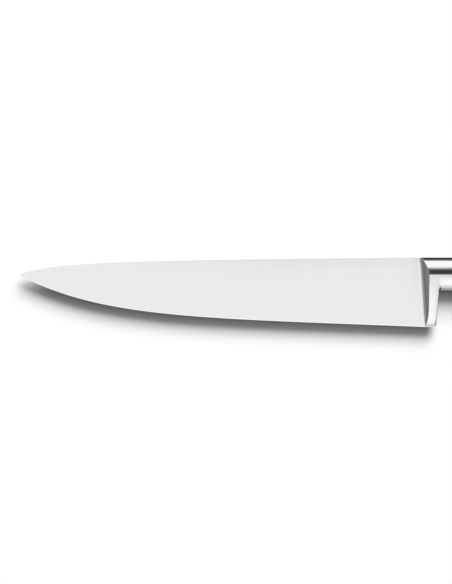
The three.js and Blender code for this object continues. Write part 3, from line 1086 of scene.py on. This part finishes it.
def make_flag(name, start, end, fade, height, stops, fan=()):
    """A soft-edged dark sheet, hidden from the camera, from matt surfaces and from shadows, which paints
    dark lines and shade into the steel's reflections.
    """
    middle = HEEL.y + NECK_MIDDLE
    low = Vector((HEEL.x + start, middle + stops[0][0] * MILLIMETRE, height))
    high = Vector((HEEL.x + end, middle + stops[-1][0] * MILLIMETRE, height))
    bpy.ops.object.select_all(action="DESELECT")
    bpy.ops.mesh.primitive_plane_add(size=1, location=(low + high) / 2)
    flag = name_piece(name)
    flag.scale = (abs(high.x - low.x), high.y - low.y, 1)
    bpy.ops.object.transform_apply(location=True, rotation=True, scale=True)
    flag.visible_camera = False
    flag.visible_diffuse = False
    flag.visible_shadow = False
    flag.visible_transmission = False
    material = bpy.data.materials.new(name)
    material.use_nodes = True
    tree = material.node_tree
    tree.nodes.clear()
    place = tree.nodes.new("ShaderNodeTexCoord").outputs["Object"]
    axes = add_node(tree, "ShaderNodeSeparateXYZ", {"Vector": place}).outputs
    from_middle = calculate(tree, "SUBTRACT", axes["Y"], middle)
    inputs = {"Value": axes["X"], "From Min": high.x - fade, "From Max": high.x, "To Min": 1, "To Max": 0}
    end_fade = add_node(tree, "ShaderNodeMapRange", inputs, interpolation_type="SMOOTHSTEP")
    dark = follow(tree, from_middle, stops, MILLIMETRE)
    dark = calculate(tree, "MULTIPLY", dark, end_fade.outputs["Result"])
    if fan:
        from_start = calculate(tree, "SUBTRACT", low.x, axes["X"])
        slant = calculate(tree, "DIVIDE", from_start, from_middle)
        dark = calculate(tree, "MULTIPLY", dark, follow(tree, slant, fan, 1))
    # Painted dark reflection: black where the flag is dark, see-through elsewhere
    clear = tree.nodes.new("ShaderNodeBsdfTransparent")
    black = add_node(tree, "ShaderNodeEmission", {"Strength": 0})
    painted_reflection_shade = add_node(tree, "ShaderNodeMixShader", {0: dark, 1: clear.outputs[0], 2: black.outputs[0]})
    add_node(tree, "ShaderNodeOutputMaterial", {"Surface": painted_reflection_shade.outputs[0]})
    flag.data.materials.append(material)


def make_lights():
    for number, (lean, aside, width, strength) in enumerate(SOFT_BOXES, start=1):
        turn = (-math.radians(lean), math.radians(aside), 0)
        bpy.ops.object.light_add(type="SUN", rotation=turn)
        panel = name_piece(f"soft_box_{number}")
        panel.data.energy = strength
        panel.data.angle = math.radians(width)
        panel.visible_glossy = False


def make_camera():
    """Straight down on the blade, from far away, with the photograph's frame."""
    across = (PHOTO_WIDTH / 2 - HEEL_PIXEL.x) * PIXEL
    up = (HEEL_PIXEL.y - PHOTO_HEIGHT / 2) * PIXEL
    bpy.ops.object.camera_add(location=HEEL + Vector((across, up, CAMERA_DISTANCE)), rotation=(0, 0, 0))
    camera = name_piece("camera")
    camera.data.sensor_width = SENSOR / MILLIMETRE
    camera.data.lens = camera.data.sensor_width * CAMERA_DISTANCE / (PHOTO_HEIGHT * PIXEL)
    camera.data.clip_end = CAMERA_REACH
    bpy.context.scene.camera = camera


# Assembly

def finish_piece(piece, nodes, materials):
    """Gives a piece its materials, hangs it on the root body and hides the CAD parts that it stands in
    for.
    """
    piece.data.materials.clear()
    for material in materials:
        piece.data.materials.append(material)
    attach(piece, "root")
    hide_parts(*nodes)


HONED, GROUND, POLISHED = 1, 2, 3  # places in the forging's list of finishes, where satin is first
BEVEL_SHARE = 0.95  # of the bevel's height, below which a face's middle lies on the bevel


def share_out_steel(forging):
    """Satin on the blade, honed along its edge, ground on the slope and polished on the bolster."""
    for face in forging.data.polygons:
        middle = face.center - HEEL
        rise = max(0, bolster_half(middle.y) - blade_half(HEEL_HEIGHT + middle.y))
        *_, fillet_start, crest = heel_slope(rise)
        from_heel = middle.x - heel_line(middle.y)
        if from_heel > crest - CREST_ROUND:
            face.material_index = POLISHED
        elif from_heel > fillet_start:
            face.material_index = GROUND
        elif middle.y - height_at(EDGE, middle.x) < EDGE_BEVEL * BEVEL_SHARE:
            face.material_index = HONED


make_camera()
make_room()
make_floor()
make_lights()
# Each flag paints dark lines and shade into the steel's reflections only; those just above the floor
# paint a darker floor near the knife than the lit floor there.
make_flag("neck_flag", FLAG_START, FLAG_END, FLAG_FADE, HEEL.z + GRIP_HALF + FLAG_HEIGHT, NECK_FLAG)
make_flag("back_flag", FLOOR_FLAG_START, FLAG_END, FLAG_FADE, FLOOR_FLAG_HEIGHT, BACK_FLAG)
make_flag("front_flag", GUARD_LENGTH_AT_NECK, FLAG_END, FLAG_FADE, FLOOR_FLAG_HEIGHT, FRONT_FLAG)
make_flag("guard_flag", FLOOR_FLAG_START, GUARD_LENGTH_AT_NECK, MERGE, FLOOR_FLAG_HEIGHT, GUARD_FLAG)
make_flag("spine_flag", SPINE_FLAG_START, SPINE_FLAG_END, SPINE_FLAG_FADE, SPINE_FLAG_HEIGHT, SPINE_FLAG)
make_flag(
    "corner_flag", CORNER_FLAG_START, CORNER_FLAG_END, FLAG_FADE, CORNER_FLAG_HEIGHT,
    CORNER_FLAG, CORNER_FAN,
)

places = rivet_places()
drills = [make_drill(place, radius) for place, radius in places]
blank = make_blank()
forging = make_forging()
tang = make_tang(blank, drills)
left_scale = make_scale(blank, drills, "left_handle_scale", 1)
right_scale = make_scale(blank, drills, "right_handle_scale", -1)
rivets = make_rivets(places)
for helper in [blank, *drills]:
    bpy.data.objects.remove(helper)

resin = black_resin()
rivet_finish = rivet_steel()
blade_finishes = [satin_steel(), honed_steel(), ground_steel(), polished_steel()]
finish_piece(forging, ["forged_blade"], blade_finishes)
share_out_steel(forging)
finish_piece(tang, ["forged_blade"], [tang_steel()])
finish_piece(left_scale, ["left_scale"], [resin])
finish_piece(right_scale, ["right_scale"], [resin])
for rivet, node in rivets:
    finish_piece(rivet, [node], [rivet_finish])

# The steel throws no light back under the knife, so that the shadow there stays as deep as it should.
forging.visible_diffuse = False
tang.visible_diffuse = False

bpy.context.scene.view_settings.view_transform = "Standard"
